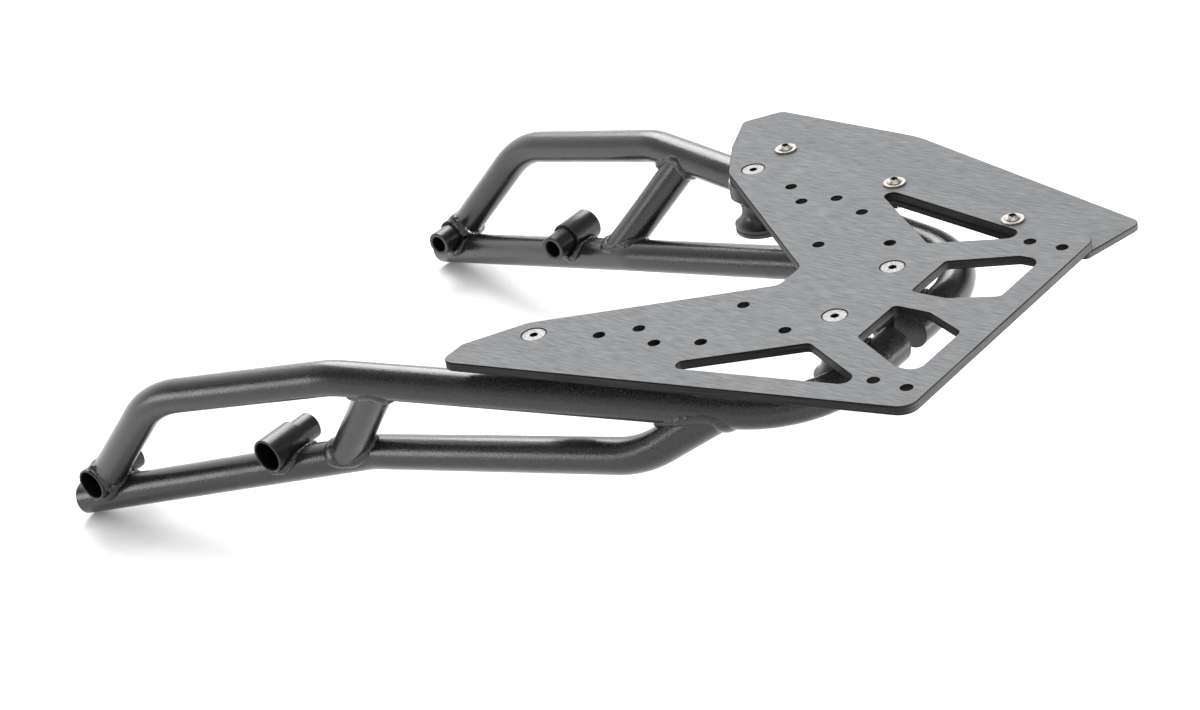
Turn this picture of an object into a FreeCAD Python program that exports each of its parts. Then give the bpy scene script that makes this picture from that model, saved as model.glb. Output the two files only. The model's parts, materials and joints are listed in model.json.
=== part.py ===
import FreeCAD, Part
import math
import os

# Top case mounting plate for a motorcycle: a flat sheet plate on a bent, welded tube frame
# Millimetres, x forward, y to the rider's left, z up
# The origin is on the plate's top face, midway between the two front screws

# Main plate sheet
plate_thickness = 6.5
plate_rear_x = -281.0
plate_rear_half_width = 113.2
arm_tip_x = 38.5
arm_tip_half_width = 177.3
arm_tip_length = 24.3
arm_heel_x = 14.0
arm_heel_half_gap = 114.0
notch_bottom_x = -117.0
notch_bottom_half_width = 12.8
plate_rear_corner_radius = 12.5
arm_tip_outer_radius = 8.0
arm_tip_inner_radius = 10.0
arm_heel_radius = 15.0
notch_corner_radius = 8.0
plate_edge_chamfer = 0.5

# Three-cornered opening on each side, beside the plate's outer edge
side_band_width = 19.2
triangle_inner_x = -180.0
triangle_inner_y = 69.7
triangle_front_slope = 0.745
triangle_rear_slope = 0.4965
triangle_tip_radius = 5.0
triangle_heel_radius = 6.8
triangle_inner_radius = 4.5

# Five-sided opening on each side of the centre rib at the rear
rear_rib_width = 20.0
rear_opening_front_x = -205.0
rear_opening_rear_x = -262.0
rear_opening_shoulder_x = -247.0
rear_opening_bevel_x = -231.0
rear_opening_shoulder_y = 52.0
rear_opening_outer_y = 74.2
rear_opening_bevel_y = 24.0
rear_opening_front_radius = 3.0
rear_opening_radius = 4.5
rear_opening_outer_radius = 8.0

# Plain holes for the case's own fixings, one side
case_hole_radius = 4.2
case_row_y = 93.5
case_row_x = (-63.2, -112.9, -243.1, -266.8)
case_spare_holes = ((-43.1, 110.1), (-84.4, 105.4), (-155.9, 61.5), (-110.9, 43.5))

# Countersunk screws that hold the plate on its four posts
front_screw_inset = 43.7
rear_screw_spacing = 68.0
rear_screw_x = -175.4
screw_radius = 4.0
screw_length = 38.0
screw_point_radius = 3.0
screw_point_height = 1.0
screw_head_radius = 8.1
screw_head_sink = 0.4
screw_hex_width = 5.0
screw_hex_depth = 3.0
countersink_radius = 8.75
screw_hole_clearance = 0.4
thread_clearance = 0.05

# Turned posts, grooved to nest on the tube
post_rim_radius = 19.0
post_upper_rim_height = 12.1
post_lower_rim_height = 6.1
post_waist_radius = 12.5
post_rim_chamfer = 0.6
post_line_depth = 0.4
post_line_width = 1.0
weld_gap = 0.1

# Frame tube
tube_radius = 12.5
tube_wall = 2.0
tube_cap_thickness = 2.0
upper_tube_sweep_angle = 13.46
upper_tube_end_gap = 19.0
upper_rear_bend_radius = 70.0
upper_knee_x = 137.3
upper_knee_radius = 74.0
upper_drop_x = 302.5
upper_drop_y = 210.4
upper_drop_z = -67.4
upper_drop_radius = 85.0
upper_foot_x = 387.5
upper_foot_y = 208.4
upper_foot_z = -155.3
lower_front_x = 414.0
lower_front_y = 209.6
lower_front_z = -179.0
lower_middle_x = 151.3
lower_middle_y = 152.1
lower_middle_z = -110.2
lower_middle_radius = 78.0
lower_rear_x = -82.7
lower_rear_y = 134.3
lower_rear_z = -68.8
lower_rear_radius = 88.0
lower_joint_x = -142.4
strut_top_x = 101.0
strut_foot_x = 174.4

# Stepped bosses that take the motorcycle's fixing bolts, set across the lower tube
boss_radius = 12.75
boss_length = 46.4
boss_barrel_length = 28.8
boss_spigot_radius = 10.1
boss_mouth_radius = 10.9
boss_mouth_depth = 24.0
boss_bolt_hole_radius = 6.75
boss_edge_chamfer = 0.6
boss_rise = 17.3
front_boss_x = 388.5
front_boss_outer_y = 222.9
middle_boss_x = 224.3
middle_boss_outer_y = 186.3

# Side extension sheet, held under the right edge of the main plate
extension_thickness = 4.8
extension_front_x = 63.2
extension_front_y = 200.0
extension_nose_x = 44.6
extension_nose_y = 225.0
extension_bend_x = -79.4
extension_bend_y = 218.3
extension_rear_x = -292.2
extension_rear_y = 152.5
extension_heel_x = -279.4
extension_heel_y = 100.9
extension_front_inner_x = 45.0
extension_corner_radius = 5.0
extension_nose_radius = 9.0
extension_bend_radius = 60.0
extension_rear_radius = 8.0
extension_inner_bend_radius = 20.0

# Button-head screws, washers and nuts along the extension's seam
seam_inset = 9.9
seam_first_x = -5.5
seam_pitch = 108.0
seam_count = 3
seam_screw_radius = 3.0
seam_hole_clearance = 0.3
seam_head_radius = 5.3
seam_head_height = 3.0
seam_screw_length = 18.2
seam_lobe_circle = 1.9
seam_lobe_radius = 0.75
seam_socket_depth = 2.0
washer_radius = 8.0
washer_thickness = 1.5
nut_width = 10.0
nut_height = 5.2

V = FreeCAD.Vector
UP = V(0, 0, 1)
ACROSS = V(0, 1, 0)


def between(a, b, t):
    return a + (b - a) * t


def rounded_outline(corners, z):
    """Closed wire through (x, y, radius) corners, each rounded by an arc tangent to its two sides."""
    points = [V(x, y, z) for x, y, radius in corners]
    arcs = []
    for i, (x, y, radius) in enumerate(corners):
        corner = points[i]
        to_last = (points[i - 1] - corner).normalize()
        to_next = (points[(i + 1) % len(points)] - corner).normalize()
        half_angle = to_last.getAngle(to_next) / 2
        reach = radius / math.tan(half_angle)
        middle = (to_last + to_next).normalize() * (radius / math.sin(half_angle) - radius)
        arcs.append((corner + to_last * reach, corner + middle, corner + to_next * reach))
    edges = []
    for i, (start, middle, end) in enumerate(arcs):
        edges.append(Part.LineSegment(arcs[i - 1][2], start).toShape())
        edges.append(Part.Arc(start, middle, end).toShape())
    return Part.Wire(edges)


def sheet(corners, z_low, thickness):
    return Part.Face(rounded_outline(corners, z_low)).extrude(UP * thickness)


def mirrored(shape):
    return shape.mirror(V(0, 0, 0), ACROSS)


def both_sides(shape):
    return [shape, mirrored(shape)]


def turned(profile, centre, axis=UP):
    """Solid of revolution from (radius, height) points, its axis through centre."""
    points = [V(radius, 0, height) for radius, height in profile]
    face = Part.Face(Part.makePolygon(points + points[:1]))
    solid = face.revolve(V(0, 0, 0), UP, 360)
    solid.Placement = FreeCAD.Placement(centre, FreeCAD.Rotation(UP, axis))
    return solid


def prism(sides, across_flats, centre, height):
    corner_radius = across_flats / 2 / math.cos(math.pi / sides)
    points = [
        centre + V(math.cos(2 * math.pi * k / sides), math.sin(2 * math.pi * k / sides), 0) * corner_radius
        for k in range(sides + 1)
    ]
    return Part.Face(Part.makePolygon(points)).extrude(UP * height)


def bent_path(points, radii):
    """Straight runs joined by tangent arcs of the given bend radii."""
    edges = []
    start = points[0]
    for i, radius in enumerate(radii, 1):
        to_last = (points[i - 1] - points[i]).normalize()
        to_next = (points[i + 1] - points[i]).normalize()
        half_angle = to_last.getAngle(to_next) / 2
        reach = radius / math.tan(half_angle)
        middle = (to_last + to_next).normalize() * (radius / math.sin(half_angle) - radius)
        bend_start = points[i] + to_last * reach
        bend_end = points[i] + to_next * reach
        edges.append(Part.LineSegment(start, bend_start).toShape())
        edges.append(Part.Arc(bend_start, points[i] + middle, bend_end).toShape())
        start = bend_end
    edges.append(Part.LineSegment(start, points[-1]).toShape())
    return Part.Wire(edges)


def bar(path, radius):
    """Round bar of the given radius along a bent path."""
    first = path.Edges[0]
    start = first.valueAt(first.FirstParameter)
    circle = Part.Wire(Part.Circle(start, first.tangentAt(first.FirstParameter), radius).toShape())
    return path.makePipeShell([circle], True, False)


def largest(shape):
    return max(shape.Solids, key=lambda solid: solid.Volume)


def coped_tube(path, cutters):
    """Hollow tube along the path, its ends cut to the outer surface of what it is welded to."""
    tube = bar(path, tube_radius).cut(bar(path, tube_radius - tube_wall))
    return largest(tube.cut(cutters))


# Plate outline and the lines that the openings and the seam follow
side_slope = (arm_tip_half_width - plate_rear_half_width) / (arm_tip_x - plate_rear_x)
side_cosine = 1 / math.hypot(1, side_slope)


def side_line_y(x, inset):
    """Distance from the middle to a line that runs inside the plate's side edge."""
    return plate_rear_half_width + side_slope * (x - plate_rear_x) - inset / side_cosine


def crossing(slope_a, point_a, slope_b, point_b):
    """Where two lines meet, each given by its slope and one (x, y) point on it."""
    across_a = point_a[1] - slope_a * point_a[0]
    across_b = point_b[1] - slope_b * point_b[0]
    x = (across_b - across_a) / (slope_a - slope_b)
    return x, across_a + slope_a * x


plate_bottom_z = -plate_thickness
front_screw_y = side_line_y(0, front_screw_inset)
arm_tip_inner_y = arm_tip_half_width - arm_tip_length
seam_points = []
for k in range(seam_count):
    x = seam_first_x - k * seam_pitch * side_cosine
    seam_points.append(V(x, -side_line_y(x, seam_inset), 0))
screw_points = [
    ("left_front_post", V(0, front_screw_y, 0)),
    ("right_front_post", V(0, -front_screw_y, 0)),
    ("left_rear_post", V(rear_screw_x, rear_screw_spacing / 2, 0)),
    ("right_rear_post", V(rear_screw_x, -rear_screw_spacing / 2, 0)),
]
case_holes = [(x, case_row_y) for x in case_row_x] + list(case_spare_holes)


def triangle_opening():
    inner = (triangle_inner_x, triangle_inner_y)
    beside_inner = (triangle_inner_x, side_line_y(triangle_inner_x, side_band_width))
    tip = crossing(triangle_front_slope, inner, side_slope, beside_inner)
    heel = crossing(-triangle_rear_slope, inner, side_slope, beside_inner)
    return [
        (*tip, triangle_tip_radius),
        (*heel, triangle_heel_radius),
        (*inner, triangle_inner_radius),
    ]


def rear_opening():
    rib = rear_rib_width / 2
    return [
        (rear_opening_front_x, rib, rear_opening_front_radius),
        (rear_opening_front_x, rear_opening_shoulder_y, rear_opening_front_radius),
        (rear_opening_shoulder_x, rear_opening_outer_y, rear_opening_radius),
        (rear_opening_rear_x, rear_opening_outer_y, rear_opening_outer_radius),
        (rear_opening_rear_x, rear_opening_bevel_y, rear_opening_radius),
        (rear_opening_bevel_x, rib, rear_opening_radius),
    ]


def main_plate():
    left = [
        (arm_tip_x, arm_tip_half_width, arm_tip_outer_radius),
        (arm_tip_x, arm_tip_inner_y, arm_tip_inner_radius),
        (arm_heel_x, arm_heel_half_gap, arm_heel_radius),
        (notch_bottom_x, notch_bottom_half_width, notch_corner_radius),
    ]
    right = [(x, -y, radius) for x, y, radius in reversed(left)]
    rear = [
        (plate_rear_x, -plate_rear_half_width, plate_rear_corner_radius),
        (plate_rear_x, plate_rear_half_width, plate_rear_corner_radius),
    ]
    plate = sheet(left + right + rear, plate_bottom_z, plate_thickness)
    openings = []
    for outline in (triangle_opening(), rear_opening()):
        openings += both_sides(sheet(outline, plate_bottom_z, plate_thickness))
    plate = plate.cut(openings)
    flat_edges = [edge for edge in plate.Edges if edge.BoundBox.ZLength < 1e-6]
    plate = plate.makeChamfer(plate_edge_chamfer, flat_edges)
    drills = []
    for x, y in case_holes:
        drills += both_sides(Part.makeCylinder(case_hole_radius, plate_thickness, V(x, y, plate_bottom_z)))
    bore_radius = screw_radius + screw_hole_clearance
    for name, point in screw_points:
        drills.append(Part.makeCylinder(bore_radius, plate_thickness, point + UP * plate_bottom_z))
        cone_depth = countersink_radius - bore_radius
        drills.append(Part.makeCone(bore_radius, countersink_radius, cone_depth, point - UP * cone_depth))
    seam_bore = seam_screw_radius + seam_hole_clearance
    for point in seam_points:
        drills.append(Part.makeCylinder(seam_bore, plate_thickness, point + UP * plate_bottom_z))
    return plate.cut(drills)


def extension_plate():
    """Right-hand sheet; its inner edge lines up with the outer side of the three-cornered opening."""
    front_inner_y = side_line_y(extension_front_inner_x, side_band_width)
    inner_bend_x = extension_front_inner_x - (front_inner_y - extension_heel_y) / side_slope
    left_hand = [
        (extension_front_x, extension_front_y, extension_corner_radius),
        (extension_nose_x, extension_nose_y, extension_nose_radius),
        (extension_bend_x, extension_bend_y, extension_bend_radius),
        (extension_rear_x, extension_rear_y, extension_rear_radius),
        (extension_heel_x, extension_heel_y, extension_corner_radius),
        (inner_bend_x, extension_heel_y, extension_inner_bend_radius),
        (extension_front_inner_x, front_inner_y, extension_corner_radius),
    ]
    bottom_z = plate_bottom_z - extension_thickness
    plate = sheet([(x, -y, radius) for x, y, radius in left_hand], bottom_z, extension_thickness)
    flat_edges = [edge for edge in plate.Edges if edge.BoundBox.ZLength < 1e-6]
    plate = plate.makeChamfer(plate_edge_chamfer, flat_edges)
    seam_bore = seam_screw_radius + seam_hole_clearance
    for point in seam_points:
        plate = plate.cut(Part.makeCylinder(seam_bore, extension_thickness, point + UP * bottom_z))
    return plate


# Centre-lines of the left half of the frame
post_groove_radius = tube_radius + weld_gap
tube_offset = post_waist_radius + post_groove_radius
post_half_groove = math.sqrt(post_groove_radius**2 - (tube_offset - post_rim_radius) ** 2)
tube_level_z = plate_bottom_z - post_upper_rim_height - post_half_groove
sweep_slope = math.tan(math.radians(upper_tube_sweep_angle))
sweep_cosine = math.cos(math.radians(upper_tube_sweep_angle))
cross_run_x = rear_screw_x - tube_offset


def upper_line(x):
    """Point at the given x on the level run beside the plate's arm."""
    return V(x, front_screw_y + tube_offset / sweep_cosine + sweep_slope * x, tube_level_z)


upper_points = [
    V(upper_foot_x, upper_foot_y, upper_foot_z),
    V(upper_drop_x, upper_drop_y, upper_drop_z),
    upper_line(upper_knee_x),
    upper_line(cross_run_x),
    V(cross_run_x, upper_tube_end_gap / 2 + tube_cap_thickness, tube_level_z),
]
upper_radii = [upper_drop_radius, upper_knee_radius, upper_rear_bend_radius]
lower_points = [
    V(lower_front_x, lower_front_y, lower_front_z),
    V(lower_middle_x, lower_middle_y, lower_middle_z),
    V(lower_rear_x, lower_rear_y, lower_rear_z),
    upper_line(lower_joint_x),
]
lower_radii = [lower_middle_radius, lower_rear_radius]


def along_x(a, b, x):
    """Point with the given x on the line through two points."""
    return between(a, b, (x - a.x) / (b.x - a.x))


strut_points = [upper_line(strut_top_x), along_x(lower_points[0], lower_points[1], strut_foot_x)]
boss_centres = {}
for name, x, outer_y in (
    ("front_boss", front_boss_x, front_boss_outer_y),
    ("middle_boss", middle_boss_x, middle_boss_outer_y),
):
    tube_z = along_x(lower_points[0], lower_points[1], x).z
    boss_centres[name] = V(x, outer_y, tube_z + boss_rise)


def boss(mouth_centre):
    """Stepped sleeve lying across the frame, its wide mouth facing outwards."""
    c = boss_edge_chamfer
    profile = [
        (boss_mouth_radius + c, 0),
        (boss_radius - c, 0),
        (boss_radius, c),
        (boss_radius, boss_barrel_length - c),
        (boss_radius - c, boss_barrel_length),
        (boss_spigot_radius, boss_barrel_length),
        (boss_spigot_radius, boss_length - c),
        (boss_spigot_radius - c, boss_length),
        (boss_bolt_hole_radius + c, boss_length),
        (boss_bolt_hole_radius, boss_length - c),
        (boss_bolt_hole_radius, boss_mouth_depth),
        (boss_mouth_radius, boss_mouth_depth),
        (boss_mouth_radius, c),
    ]
    return turned(profile, mouth_centre, -ACROSS)


def boss_seat(mouth_centre):
    return Part.makeCylinder(boss_radius + weld_gap, boss_length, mouth_centre, -ACROSS)


def end_cap(points, index):
    """Flat disc closing one end of a tube."""
    beside = points[1] if index == 0 else points[-2]
    outwards = (points[index] - beside).normalize()
    return Part.makeCylinder(tube_radius, tube_cap_thickness, points[index], outwards)


def run_seat(start, end):
    """Envelope of one straight tube run, for coping the end of a tube that is welded to it."""
    return Part.makeCylinder(tube_radius + weld_gap, start.distanceToPoint(end), start, end - start)


def left_frame():
    upper_path = bent_path(upper_points, upper_radii)
    lower_path = bent_path(lower_points, lower_radii)
    strut_path = Part.Wire(Part.LineSegment(*strut_points).toShape())
    boss_seats = [boss_seat(centre) for centre in boss_centres.values()]
    rear_seat = run_seat(upper_points[2], upper_points[3])
    foot_seat = run_seat(lower_points[0], lower_points[1])
    strut_seats = [bar(path, tube_radius + weld_gap) for path in (upper_path, lower_path)]
    return {
        "upper_tube": coped_tube(upper_path, boss_seats + [foot_seat]),
        "lower_tube": coped_tube(lower_path, boss_seats + [rear_seat]),
        "strut": coped_tube(strut_path, strut_seats),
        "front_boss": boss(boss_centres["front_boss"]),
        "middle_boss": boss(boss_centres["middle_boss"]),
        "upper_tube_cap": end_cap(upper_points, -1),
        "lower_tube_cap": end_cap(lower_points, 0),
    }


def post(centre):
    """Turned spool with a round groove that the tube nests in, tapped right through."""
    height = post_upper_rim_height + 2 * post_half_groove + post_lower_rim_height
    bore_radius = screw_radius + thread_clearance
    line_radius = post_rim_radius - post_line_depth
    line_low = post_lower_rim_height / 2
    line_high = line_low + post_line_width
    c = post_rim_chamfer
    profile = [
        (bore_radius, 0),
        (post_rim_radius - c, 0),
        (post_rim_radius, c),
        (post_rim_radius, line_low),
        (line_radius, line_low),
        (line_radius, line_high),
        (post_rim_radius, line_high),
        (post_rim_radius, height - c),
        (post_rim_radius - c, height),
        (bore_radius, height),
    ]
    groove = Part.makeTorus(tube_offset, post_groove_radius, V(centre.x, centre.y, tube_level_z))
    return turned(profile, centre + UP * (plate_bottom_z - height)).cut(groove)


def countersunk_screw(centre):
    cone_low = countersink_radius - screw_radius
    edge_low = countersink_radius - screw_head_radius
    profile = [
        (0, -screw_head_sink),
        (screw_head_radius, -screw_head_sink),
        (screw_head_radius, -edge_low),
        (screw_radius, -cone_low),
        (screw_radius, screw_point_height - screw_length),
        (screw_point_radius, -screw_length),
        (0, -screw_length),
    ]
    socket = prism(6, screw_hex_width, centre - UP * (screw_head_sink + screw_hex_depth), screw_hex_depth)
    return turned(profile, centre).cut(socket)


def seam_screw(centre):
    """Button-head screw with a six-lobed socket."""
    seat = centre + UP * washer_thickness
    dome_radius = (seam_head_radius**2 + seam_head_height**2) / (2 * seam_head_height)
    dome = Part.makeSphere(dome_radius, seat + UP * (seam_head_height - dome_radius))
    head = dome.common(Part.makeCylinder(seam_head_radius, seam_head_height, seat))
    shank = Part.makeCylinder(seam_screw_radius, seam_screw_length, seat - UP * seam_screw_length)
    floor = seat + UP * (seam_head_height - seam_socket_depth)
    lobes = [Part.makeCylinder(seam_lobe_circle, seam_socket_depth, floor)]
    for k in range(6):
        angle = 2 * math.pi * k / 6
        offset = V(math.cos(angle), math.sin(angle), 0) * seam_lobe_circle
        lobes.append(Part.makeCylinder(seam_lobe_radius, seam_socket_depth, floor + offset))
    return head.fuse(shank).cut(lobes)


def washer(centre):
    disc = Part.makeCylinder(washer_radius, washer_thickness, centre)
    return disc.cut(Part.makeCylinder(seam_screw_radius + seam_hole_clearance, washer_thickness, centre))


def nut(centre):
    base = centre + UP * (plate_bottom_z - extension_thickness - nut_height)
    bore = Part.makeCylinder(seam_screw_radius + thread_clearance, nut_height, base)
    return prism(6, nut_width, base, nut_height).cut(bore)


def write(name, shape):
    shape.exportStep("parts/" + name + ".step")


os.makedirs("parts", exist_ok=True)
write("main_plate", main_plate())
write("extension_plate", extension_plate())
for part_name, solid in left_frame().items():
    write("left_" + part_name, solid)
    write("right_" + part_name, mirrored(solid))
for post_name, point in screw_points:
    write(post_name, post(point))
write("countersunk_screws", Part.makeCompound([countersunk_screw(point) for name, point in screw_points]))
write("seam_screws", Part.makeCompound([seam_screw(point) for point in seam_points]))
write("seam_washers", Part.makeCompound([washer(point) for point in seam_points]))
write("seam_nuts", Part.makeCompound([nut(point) for point in seam_points]))
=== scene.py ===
import json
import math

import bpy
from mathutils import Matrix, Vector, noise
from mathutils.bvhtree import BVHTree


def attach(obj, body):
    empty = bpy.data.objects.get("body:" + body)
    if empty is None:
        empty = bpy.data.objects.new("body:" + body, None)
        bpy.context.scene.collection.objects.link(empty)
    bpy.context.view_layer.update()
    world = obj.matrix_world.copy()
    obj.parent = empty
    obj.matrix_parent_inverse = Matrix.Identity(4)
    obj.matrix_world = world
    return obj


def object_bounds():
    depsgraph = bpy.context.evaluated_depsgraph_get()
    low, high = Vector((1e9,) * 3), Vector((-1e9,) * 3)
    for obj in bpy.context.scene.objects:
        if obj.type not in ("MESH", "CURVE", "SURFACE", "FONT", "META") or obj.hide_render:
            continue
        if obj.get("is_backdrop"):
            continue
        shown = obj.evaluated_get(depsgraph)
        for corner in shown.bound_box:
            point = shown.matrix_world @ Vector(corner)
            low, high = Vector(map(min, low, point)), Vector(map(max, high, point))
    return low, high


# Looks of the top case mounting plate: materials, weld beads, studio and camera.
# Metres, in the CAD model's own frame: x forward, y to the rider's left, z up.

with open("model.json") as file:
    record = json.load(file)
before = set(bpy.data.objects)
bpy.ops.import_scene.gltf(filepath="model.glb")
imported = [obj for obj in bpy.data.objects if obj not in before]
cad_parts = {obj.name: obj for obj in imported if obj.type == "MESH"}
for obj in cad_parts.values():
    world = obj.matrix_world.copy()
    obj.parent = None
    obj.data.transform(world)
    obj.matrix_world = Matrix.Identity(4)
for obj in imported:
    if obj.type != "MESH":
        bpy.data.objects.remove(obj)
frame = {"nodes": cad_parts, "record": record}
cad_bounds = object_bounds()
nodes = frame["nodes"]
MM = 0.001

# Camera at the photograph's place and angle
CAMERA_PLACE = Vector((-1.0912, 1.2198, 0.8126))
CAMERA_RIGHT = Vector((-0.77613, -0.60673, -0.17173))
CAMERA_AHEAD = Vector((0.60451, -0.63844, -0.47641))
LENS_MM = 80.6
SENSOR_MM = 36.0

# Floor: its glow rises between two distances from the origin (metres); painted contact shadow in narrow gaps
FLOOR_Z = -0.1922
FLOOR_SIZE = 12.0
FLOOR_GLOW = (0.38, 0.6)
FLOOR_GLOW_DISTANCES = (0.35, 1.5)
FLOOR_SHADOW_GLOW = 0.05
FLOOR_SHADOW_REACH = 60 * MM
FLOOR_SHADOW_OPENNESS = (0.25, 0.95)

# Dome: an even level, and patches of direction, gain and the cosines between which the gain grows
DOME_LEVEL = 1.0
DOME_PATCHES = (
    (Vector((0.86, -0.36, 0.36)), 0.8, 0.5, 0.95),
    (Vector((0.594, 0.42, 0.686)), -0.75, 0.75, 0.93),
    (Vector((-0.45, -0.62, 0.64)), -0.75, 0.78, 0.94),
)

# Soft boxes: place, target, width and height in metres, and power in watts
FAR_BOX = ((1.4, -1.25, 1.6), (0.05, 0, -0.1), (1.8, 1.7), 80)
REAR_BOX = ((-1.35, -0.6, -0.05), (-0.1, 0, -0.02), (1.4, 0.22), 70)
NEAR_BOX = ((1.6, 1.6, 0.2), (0.25, 0.18, -0.08), (0.8, 0.74), 10.5)

# Grain of the surfaces: cells to the metre along each axis, and the stretch of its values in use
BRUSH_STREAKS = (75, 780, 780)
BRUSH_CLOUDS = (14, 40, 40)
BRUSH_RIDGES = (9, 2200, 2200)
WALL_LAYERS = (25, 25, 1300)
COAT_GRAIN = (950, 950, 950)
COAT_PATCHES = (60, 60, 60)
METAL_MARKS = (2500, 2500, 700)
METAL_STAINS = (700, 700, 700)
FLOOR_HAZE = (3, 3, 3)
WIDE_MIDDLE = (0.25, 0.75)
MIDDLE = (0.3, 0.7)
NARROW_MIDDLE = (0.35, 0.65)

# How far edges, hollows and bumps reach, in metres, and the samples that feel for them; edges and hollows
# bound painted shade
WALL_EDGE = 1.8 * MM
METAL_EDGE = 1.2 * MM
METAL_ROUNDING = 0.25 * MM
COAT_HOLLOW = 40 * MM
METAL_HOLLOW = 8 * MM
COAT_BUMP = 0.3 * MM
FINE_BUMP = 0.03 * MM
NODE_SAMPLES = 6

# Centre-lines of the welded tubes, bosses and posts, on the left half, in millimetres
TUBE_RADIUS = 12.5
BOSS_RADIUS = 12.75
POST_RADIUS = 19.0
UPPER_DROP = Vector((302.5, 210.4, -67.4))
UPPER_FOOT = Vector((387.5, 208.4, -155.3))
LOWER_BEND = Vector((-82.7, 134.3, -68.8))
LOWER_REAR = Vector((-142.4, 116.7, -29.6))
STRUT_TOP = Vector((101.0, 175.0, -29.6))
STRUT_FOOT = Vector((174.4, 157.2, -116.2))
FRONT_BOSS = Vector((388.5, 200.0, -155.0))
MIDDLE_BOSS = Vector((224.3, 163.0, -112.0))
FRONT_BOSS_MOUTH = 222.9
MIDDLE_BOSS_MOUTH = 186.3
FRONT_POST = Vector((0.0, 125.0, 0.0))
REAR_POST = Vector((-175.4, 34.0, 0.0))
UP = Vector((0, 0, 1))
ACROSS = Vector((0, 1, 0))

# Search for the seams: its start as a share of a tube's last run, rays to the turn, and millimetres
FOOT_START = 0.4
LOWER_REAR_START = 0.3
END_RAYS = 96
SADDLE_RAYS = 144
SADDLE_REACH = 60
SADDLE_CLEARANCE = 0.3

# Weld bead: sizes in millimetres, lumps as a share of its size, lag and wander in radians
BEAD_LEG = 5.0
BEAD_BULGE = 1.3
BEAD_RIPPLE = 0.35
BEAD_RIPPLE_PITCH = 2.6
BEAD_RIPPLE_LAG = 0.9
BEAD_LUMP_SIZE = 7.0
BEAD_LUMPS = 0.35
BEAD_FINE_LUMP_SIZE = 2.0
BEAD_FINE_LUMPS = 0.1
BEAD_WANDER_SIZE = 4.0
BEAD_WANDER = 1.5
BEAD_ROOT = 1.5
BEAD_SUNK = 0.3
BEAD_STEP = 0.45
BEAD_FEWEST_STEPS = 12
BEAD_SIDES = 10
BEAD_THINNEST = 0.2


# Node graph helpers
class Graph:
    """Adds nodes to one material's or world's tree and links them."""

    def __init__(self, tree):
        self.tree = tree

    def add(self, kind, inputs=None, **settings):
        node = self.tree.nodes.new(kind)
        for key, value in settings.items():
            setattr(node, key, value)
        self.feed(node, inputs or {})
        return node

    def feed(self, node, inputs):
        """Links the sockets given as inputs, and sets the constants."""
        for key, value in inputs.items():
            if isinstance(value, bpy.types.NodeSocket):
                self.tree.links.new(value, node.inputs[key])
            else:
                node.inputs[key].default_value = value

    def scaled_position(self, scale):
        """Object coordinates, stretched by a factor along each axis."""
        coordinates = self.add("ShaderNodeTexCoord").outputs["Object"]
        return self.add("ShaderNodeMapping", {"Vector": coordinates, "Scale": scale}).outputs["Vector"]

    def noise(self, scale, detail=2.0, roughness=0.5):
        """Noise whose grain has the given number of cells in a metre along each axis."""
        place = self.scaled_position(scale)
        inputs = {"Vector": place, "Scale": 1.0, "Detail": detail, "Roughness": roughness}
        return self.add("ShaderNodeTexNoise", inputs).outputs["Fac"]

    def spread(self, value, low, high, from_low=0.0, from_high=1.0):
        """The value's range from_low to from_high, laid over the range low to high."""
        inputs = {"Value": value, "From Min": from_low, "From Max": from_high, "To Min": low, "To Max": high}
        return self.add("ShaderNodeMapRange", inputs).outputs["Result"]

    def mix_colour(self, factor, dark, light):
        """Dark where the factor is nothing, light where it is one."""
        inputs = {0: factor, 6: dark, 7: light}
        return self.add("ShaderNodeMix", inputs, data_type="RGBA").outputs[2]

    def math(self, operation, first, second=0.0):
        return self.add("ShaderNodeMath", {0: first, 1: second}, operation=operation).outputs[0]

    def vector_math(self, operation, first, second=(0, 0, 0)):
        node = self.add("ShaderNodeVectorMath", {0: first, 1: second}, operation=operation)
        return node.outputs["Value"]

    def bump(self, height, strength, distance, normal=None):
        inputs = {"Height": height, "Strength": strength, "Distance": distance}
        if normal:
            inputs["Normal"] = normal
        return self.add("ShaderNodeBump", inputs).outputs["Normal"]

    def rounded_edges(self, radius):
        return self.add("ShaderNodeBevel", {"Radius": radius}, samples=NODE_SAMPLES).outputs["Normal"]

    def flatness(self, radius):
        """One on flat ground, less within the radius of an edge."""
        rounded = self.rounded_edges(radius)
        true_normal = self.add("ShaderNodeNewGeometry").outputs["Normal"]
        return self.vector_math("DOT_PRODUCT", rounded, true_normal)

    def openness(self, distance, own=True):
        """One where a surface is open, falling to nothing deep in hollows, its own or any."""
        inputs = {"Distance": distance}
        node = self.add("ShaderNodeAmbientOcclusion", inputs, samples=NODE_SAMPLES, only_local=own)
        return node.outputs["AO"]


def new_material(name):
    material = bpy.data.materials.new(name)
    material.use_nodes = True
    return material, Graph(material.node_tree), material.node_tree.nodes["Principled BSDF"]


def grey(value, warmth=0.0):
    return (value * (1 + warmth), value, value * (1 - warmth), 1)


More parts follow.
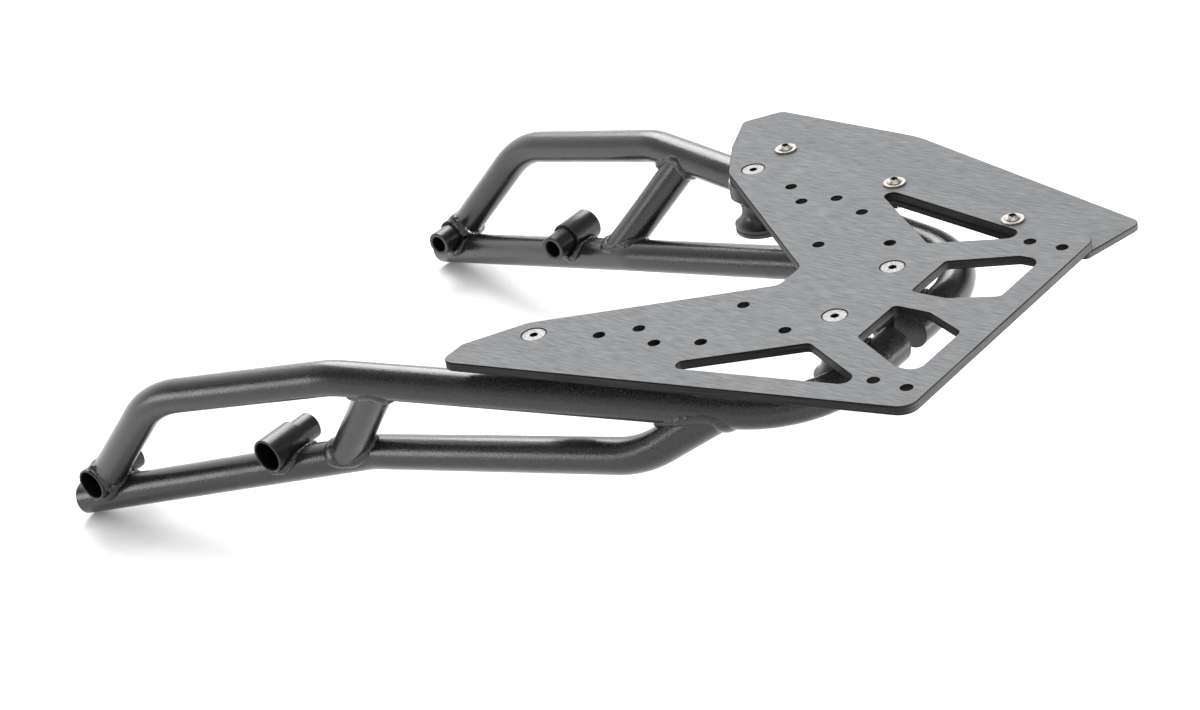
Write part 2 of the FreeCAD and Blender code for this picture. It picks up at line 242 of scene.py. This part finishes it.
# Materials
def plate_material(name, dark, light):
    """Aluminium brushed fore and aft, with dark cut walls and painted shade along the walls' edges."""
    material, graph, shader = new_material(name)
    streaks = graph.noise(BRUSH_STREAKS, detail=3, roughness=0.6)
    clouds = graph.spread(graph.noise(BRUSH_CLOUDS), -0.08, 0.08)
    tone = graph.spread(graph.math("ADD", streaks, clouds), 0, 1, *WIDE_MIDDLE)
    face = graph.mix_colour(tone, grey(dark, -0.03), grey(light, -0.02))
    normal = graph.add("ShaderNodeNewGeometry").outputs["Normal"]
    height = graph.add("ShaderNodeSeparateXYZ", {0: normal}).outputs["Z"]
    is_face = graph.spread(graph.math("ABSOLUTE", height), 0, 1, 0.8, 0.95)
    layers = graph.spread(graph.noise(WALL_LAYERS), 0, 1, *NARROW_MIDDLE)
    wall = graph.mix_colour(layers, grey(0.003, 0.03), grey(0.022, 0.04))
    # Painted shade: within an edge's reach the walls go darker and lose their shine, for the dark lines at
    # the chamfers.
    away_from_edge = graph.spread(graph.flatness(WALL_EDGE), 0, 1, 0.9, 0.998)
    wall = graph.mix_colour(away_from_edge, grey(0.002), wall)
    colour = graph.mix_colour(is_face, wall, face)
    face_roughness = graph.spread(streaks, 0.38, 0.48, *WIDE_MIDDLE)
    roughness = graph.spread(is_face, 0.5, face_roughness)
    brushing = graph.bump(graph.noise(BRUSH_RIDGES), 0.25, FINE_BUMP)
    wall_shine = graph.spread(away_from_edge, 0, 0.2)
    graph.feed(shader, {
        "Base Color": colour,
        "Specular IOR Level": graph.spread(is_face, wall_shine, 0.05),
        "Metallic": graph.spread(is_face, 0.0, 0.25),
        "Roughness": roughness,
        "Normal": brushing,
    })
    return material


def coated_material(name, orange_peel, roughness):
    """Satin black powder coat with a fine orange-peel surface, with painted shade in its hollows."""
    material, graph, shader = new_material(name)
    grain = graph.noise(COAT_GRAIN, detail=1)
    patches = graph.noise(COAT_PATCHES, detail=3)
    # Painted shade: deep in hollows, such as the bosses' mouths, the colour goes dark and the shine fades.
    openness = graph.spread(graph.openness(COAT_HOLLOW), 0, 1, 0.45, 0.9)
    speckle = graph.spread(grain, 0, 1, *NARROW_MIDDLE)
    colour = graph.mix_colour(speckle, grey(0.005), grey(0.021))
    open_roughness = graph.spread(patches, roughness - 0.04, roughness + 0.06, *MIDDLE)
    graph.feed(shader, {
        "Base Color": graph.mix_colour(openness, grey(0.004), colour),
        "Roughness": graph.spread(openness, 0.75, open_roughness),
        "Specular IOR Level": graph.spread(openness, 0.02, 0.5),
        "Normal": graph.bump(grain, orange_peel, COAT_BUMP),
    })
    return material


def metal_material(name, dark, light, roughness, hollow):
    """Bare metal with fine turning marks and small stains, and painted shade along its edges and in its
    sockets.

    Where the openness falls to the value of hollow, the painted shade in the socket is at its darkest.
    """
    material, graph, shader = new_material(name)
    marks = graph.noise(METAL_MARKS)
    stains = graph.spread(graph.noise(METAL_STAINS, detail=3), 0, 1, *MIDDLE)
    # Painted shade: the colour goes dark deep in sockets and gaps, and along the edges, for the shadowed
    # gaps there.
    openness = graph.spread(graph.openness(METAL_HOLLOW, own=False), 0, 1, hollow, 0.95)
    away_from_edge = graph.spread(graph.flatness(METAL_EDGE), 0.15, 1, 0.9, 0.995)
    unshaded = graph.math("MULTIPLY", openness, away_from_edge)
    graph.feed(shader, {
        "Base Color": graph.mix_colour(unshaded, grey(0.01), graph.mix_colour(stains, dark, light)),
        "Metallic": 0.85,
        "Roughness": graph.spread(marks, roughness - 0.06, roughness + 0.08, *MIDDLE),
        "Normal": graph.bump(marks, 0.25, FINE_BUMP, graph.rounded_edges(METAL_ROUNDING)),
    })
    return material


def dress(name, material):
    slots = nodes[name].data.materials
    slots.clear()
    slots.append(material)


boss_coat = coated_material("smooth_black_coat", orange_peel=0.15, roughness=0.30)
weld_coat = coated_material("coated_weld", orange_peel=0.45, roughness=0.26)
finishes = {
    "plate": plate_material("brushed_plate", dark=0.19, light=0.416),
    "frame": coated_material("satin_black_coat", orange_peel=0.42, roughness=0.23),
    "screw": metal_material(
        "bright_zinc", dark=grey(0.34), light=grey(0.66), roughness=0.36, hollow=0.6
    ),
    "stainless": metal_material(
        "stainless_steel", dark=grey(0.50, 0.08), light=grey(0.76, 0.07), roughness=0.24, hollow=0.3
    ),
}
subparts = frame["record"]["subparts"]
for part in subparts:
    dress(part["node"], finishes[part["material_slot"]])
for boss in ("left_front_boss", "left_middle_boss", "right_front_boss", "right_middle_boss"):
    dress(boss, boss_coat)
dress("extension_plate", plate_material("brushed_extension", dark=0.184, light=0.4))


# Weld seams, found on the CAD surfaces
def surface(names):
    """Search tree over the outside of the named CAD nodes, in millimetres."""
    vertices, faces = [], []
    for name in names:
        mesh = nodes[name].data
        start = len(vertices)
        vertices += [vertex.co / MM for vertex in mesh.vertices]
        faces += [[start + i for i in polygon.vertices] for polygon in mesh.polygons]
    return BVHTree.FromPolygons(vertices, faces)


def around(axis, count):
    """Unit steps square to an axis, evenly spaced round it."""
    first = axis.orthogonal().normalized()
    second = axis.cross(first).normalized()
    for k in range(count):
        angle = 2 * math.pi * k / count
        yield first * math.cos(angle) + second * math.sin(angle)


def toes(tree, corner, along_branch, outwards, normal):
    """For a leg of one, the steps from a seam's corner to the toe on the tube and to the toe
    on the surface that it meets, and the direction out between them."""
    level = (outwards - normal * outwards.dot(normal)).normalized()
    on_surface = tree.find_nearest(corner + level * BEAD_LEG)[0]
    toe_a = along_branch - outwards * BEAD_SUNK / BEAD_LEG
    toe_b = (on_surface - normal * BEAD_SUNK - corner) / BEAD_LEG
    return toe_a, toe_b, (outwards + normal).normalized()


def end_seam(tree, start, towards, radius):
    """Closed seam where a round tube, running from start, meets the surface it is welded to."""
    axis = (towards - start).normalized()
    seam = []
    for outwards in around(axis, END_RAYS):
        place, normal, face, distance = tree.ray_cast(start + outwards * radius, axis)
        if place and distance < (towards - start).length + 3 * radius:
            seam.append((place, *toes(tree, place, -axis, outwards, normal)))
    return seam


def saddle_seam(tree, centre, axis, radius):
    """Closed seam where a tube's surface meets the side of a round boss or post lying across it."""
    near_side, far_side = [], []
    for outwards in around(axis, SADDLE_RAYS):
        for side, hits in ((1, near_side), (-1, far_side)):
            start = centre + outwards * (radius + SADDLE_CLEARANCE) + axis * SADDLE_REACH * side
            place, normal, face, distance = tree.ray_cast(start, -axis * side, 2 * SADDLE_REACH)
            hits.append(place and (place, *toes(tree, place, axis * side, outwards, normal)))
    first = next(k for k in range(SADDLE_RAYS) if near_side[k] and not near_side[k - 1])
    order = [(first + k) % SADDLE_RAYS for k in range(SADDLE_RAYS)]
    out = [near_side[k] for k in order if near_side[k]]
    back = [far_side[k] for k in order if far_side[k]]
    return out + back[::-1]


def resampled(seam, step, rounds):
    """The closed seam, smoothed in a number of rounds and stepped evenly."""
    for _ in range(rounds):
        neighbours = zip(seam[-1:] + seam[:-1], seam, seam[1:] + seam[:1])
        seam = [
            tuple((before + here * 2 + after) / 4 for before, here, after in zip(*three))
            for three in neighbours
        ]
    closed = seam + seam[:1]
    lengths = [0.0]
    for a, b in zip(closed, closed[1:]):
        lengths.append(lengths[-1] + (b[0] - a[0]).length)
    steps = max(BEAD_FEWEST_STEPS, round(lengths[-1] / step))
    result = []
    at = 0
    for k in range(steps):
        target = lengths[-1] * k / steps
        while lengths[at + 1] < target:
            at += 1
        share = (target - lengths[at]) / max(lengths[at + 1] - lengths[at], 1e-9)
        result.append((target, *(a.lerp(b, share) for a, b in zip(closed[at], closed[at + 1]))))
    return result


def lumps(place):
    """Swelling of a bead by hand-laid lumps, about one."""
    coarse = BEAD_LUMPS * noise.noise(place / BEAD_LUMP_SIZE)
    return 1 + coarse + BEAD_FINE_LUMPS * noise.noise(place / BEAD_FINE_LUMP_SIZE)


def add_bead(
    name, seam, leg=BEAD_LEG, bulge=BEAD_BULGE, ripple=BEAD_RIPPLE, mouth=None, rounds=3
):
    """Lumpy, faintly rippled fillet weld along a closed seam, thinner beside a boss's mouth."""
    path = resampled(seam, BEAD_STEP, rounds)
    count = len(path)
    vertices, faces = [], []
    for along, corner, toe_a, toe_b, outwards in path:
        swell = lumps(corner)
        if mouth:
            swell *= min(1, max(BEAD_THINNEST, (mouth - abs(corner.y)) / leg))
        toe_a, toe_b = toe_a * leg * swell, toe_b * leg * swell
        top = (toe_a + toe_b) / 2 + outwards * bulge * swell * 2
        wander = BEAD_WANDER * noise.noise(corner / BEAD_WANDER_SIZE)
        beat = math.pi * along / BEAD_RIPPLE_PITCH + wander
        vertices.append((corner - outwards * BEAD_ROOT) * MM)
        for j in range(BEAD_SIDES):
            t = j / (BEAD_SIDES - 1)
            arch = 4 * t * (1 - t)
            crest = ripple * swell * arch * abs(math.sin(beat + BEAD_RIPPLE_LAG * arch))
            point = toe_a * (1 - t) ** 2 + top * 2 * t * (1 - t) + toe_b * t ** 2
            vertices.append((corner + point + outwards * crest) * MM)
    ring = BEAD_SIDES + 1
    for k in range(count):
        a, b = k * ring, (k + 1) % count * ring
        for j in range(ring):
            following = (j + 1) % ring
            faces.append((a + j, a + following, b + following, b + j))
    mesh = bpy.data.meshes.new(name)
    mesh.from_pydata(vertices, [], faces)
    mesh.validate()
    mesh.materials.append(weld_coat)
    for polygon in mesh.polygons:
        polygon.use_smooth = True
    piece = bpy.data.objects.new(name, mesh)
    bpy.context.scene.collection.objects.link(piece)
    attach(piece, "root")


def flip(vector, sign):
    return Vector((vector.x, vector.y * sign, vector.z))


def add_welds(side, sign):
    """The eight weld beads of one half of the frame."""
    upper = surface([side + "_upper_tube"])
    lower = surface([side + "_lower_tube"])
    foot = surface([side + "_lower_tube", side + "_front_boss"])
    drop, heel = flip(UPPER_DROP, sign), flip(UPPER_FOOT, sign)
    strut_top, strut_foot = flip(STRUT_TOP, sign), flip(STRUT_FOOT, sign)
    strut_middle = (strut_top + strut_foot) / 2
    bend, rear = flip(LOWER_BEND, sign), flip(LOWER_REAR, sign)
    seams = {
        "foot": end_seam(foot, drop.lerp(heel, FOOT_START), heel, TUBE_RADIUS),
        "strut_top": end_seam(upper, strut_middle, strut_top, TUBE_RADIUS),
        "strut_foot": end_seam(lower, strut_middle, strut_foot, TUBE_RADIUS),
        "lower_rear": end_seam(upper, bend.lerp(rear, LOWER_REAR_START), rear, TUBE_RADIUS),
        "front_boss": saddle_seam(lower, flip(FRONT_BOSS, sign), ACROSS, BOSS_RADIUS),
        "middle_boss": saddle_seam(lower, flip(MIDDLE_BOSS, sign), ACROSS, BOSS_RADIUS),
        "front_post": saddle_seam(upper, flip(FRONT_POST, sign), UP, POST_RADIUS),
        "rear_post": saddle_seam(upper, flip(REAR_POST, sign), UP, POST_RADIUS),
    }
    shapes = {
        "foot": {"mouth": FRONT_BOSS_MOUTH, "rounds": 30},
        "front_boss": {"mouth": FRONT_BOSS_MOUTH},
        "middle_boss": {"mouth": MIDDLE_BOSS_MOUTH},
        "strut_top": {"bulge": 1.6, "ripple": 0.1, "rounds": 12},
        "strut_foot": {"leg": 6.4, "bulge": 2.1, "ripple": 0.08, "rounds": 60},
        "lower_rear": {"leg": 6.0, "bulge": 1.4, "ripple": 0.1, "rounds": 14},
        "front_post": {"leg": 2.2, "bulge": 0.6, "ripple": 0.1},
        "rear_post": {"leg": 2.2, "bulge": 0.6, "ripple": 0.1},
    }
    for place, seam in seams.items():
        add_bead(side + "_weld_" + place, seam, **shapes[place])


add_welds("left", 1)
add_welds("right", -1)


# Studio: lit white table, pale dome and soft boxes
def floor_material():
    """White table with a painted contact shadow in narrow gaps, whose glow shows only to the camera and in
    reflections.
    """
    material, graph, shader = new_material("white_table")
    # Painted contact shadow: near the frame, in narrow gaps, the table's glow fades and its colour darkens.
    openness = graph.openness(FLOOR_SHADOW_REACH, own=False)
    clear = graph.spread(openness, 0, 1, *FLOOR_SHADOW_OPENNESS)
    paper = graph.mix_colour(graph.noise(FLOOR_HAZE), grey(0.64), grey(0.66))
    distance = graph.vector_math("LENGTH", graph.scaled_position((1, 1, 0)))
    open_glow = graph.spread(distance, *FLOOR_GLOW, *FLOOR_GLOW_DISTANCES)
    glow = graph.spread(clear, FLOOR_SHADOW_GLOW, open_glow)
    rays = graph.add("ShaderNodeLightPath").outputs
    mirrored = graph.math("MAXIMUM", rays["Is Glossy Ray"], rays["Is Transmission Ray"])
    seen = graph.math("MAXIMUM", rays["Is Camera Ray"], mirrored)
    graph.feed(shader, {
        "Base Color": graph.mix_colour(clear, grey(0.35), paper),
        "Roughness": 0.9,
        "Specular IOR Level": 0.1,
        "Emission Color": (1, 1, 1, 1),
        "Emission Strength": graph.math("MULTIPLY", seen, glow),
    })
    return material


def add_floor():
    half = FLOOR_SIZE / 2
    corners = [(x * half, y * half, FLOOR_Z) for x, y in ((-1, -1), (1, -1), (1, 1), (-1, 1))]
    mesh = bpy.data.meshes.new("floor")
    mesh.from_pydata(corners, [], [(0, 1, 2, 3)])
    mesh.materials.append(floor_material())
    floor = bpy.data.objects.new("floor", mesh)
    bpy.context.scene.collection.objects.link(floor)
    floor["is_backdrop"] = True


def add_dome():
    world = bpy.data.worlds.new("dome")
    world.use_nodes = True
    bpy.context.scene.world = world
    graph = Graph(world.node_tree)
    direction = graph.add("ShaderNodeTexCoord").outputs["Generated"]
    level = DOME_LEVEL
    for middle, gain, start, end in DOME_PATCHES:
        nearness = graph.vector_math("DOT_PRODUCT", direction, middle)
        level = graph.math("ADD", level, graph.spread(nearness, 0, gain, start, end))
    background = world.node_tree.nodes["Background"]
    graph.feed(background, {"Color": (1, 1, 1, 1), "Strength": level})


def add_soft_box(name, place, target, size, power):
    light = bpy.data.lights.new(name, "AREA")
    light.shape = "RECTANGLE"
    light.size, light.size_y = size
    light.energy = power
    box = bpy.data.objects.new(name, light)
    box.location = place
    box.rotation_euler = (Vector(target) - Vector(place)).to_track_quat("-Z", "Y").to_euler()
    bpy.context.scene.collection.objects.link(box)
    return box


def light_only(box, slot):
    """Keeps a soft box's light off all CAD nodes but those of one material slot."""
    shaded = bpy.data.collections.new(box.name + "_flag")
    for part in subparts:
        if part["material_slot"] != slot:
            shaded.objects.link(nodes[part["node"]])
    for item in shaded.collection_objects:
        item.light_linking.link_state = "EXCLUDE"
    box.light_linking.receiver_collection = shaded


def add_camera():
    camera = bpy.data.cameras.new("camera")
    camera.lens = LENS_MM
    camera.sensor_width = SENSOR_MM
    camera.clip_end = 50
    rig = bpy.data.objects.new("camera", camera)
    upwards = CAMERA_RIGHT.cross(CAMERA_AHEAD)
    turn = Matrix((CAMERA_RIGHT, upwards, -CAMERA_AHEAD)).transposed().to_4x4()
    rig.matrix_world = Matrix.Translation(CAMERA_PLACE) @ turn
    bpy.context.scene.collection.objects.link(rig)
    bpy.context.scene.camera = rig


add_floor()
add_dome()
far_box = add_soft_box("far_box", *FAR_BOX)
rear_box = add_soft_box("rear_box", *REAR_BOX)
add_soft_box("near_box", *NEAR_BOX)
light_only(far_box, "frame")
light_only(rear_box, "plate")
add_camera()
bpy.context.scene.view_settings.view_transform = "Standard"

[[list(corner) for corner in bounds] for bounds in (cad_bounds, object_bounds())]
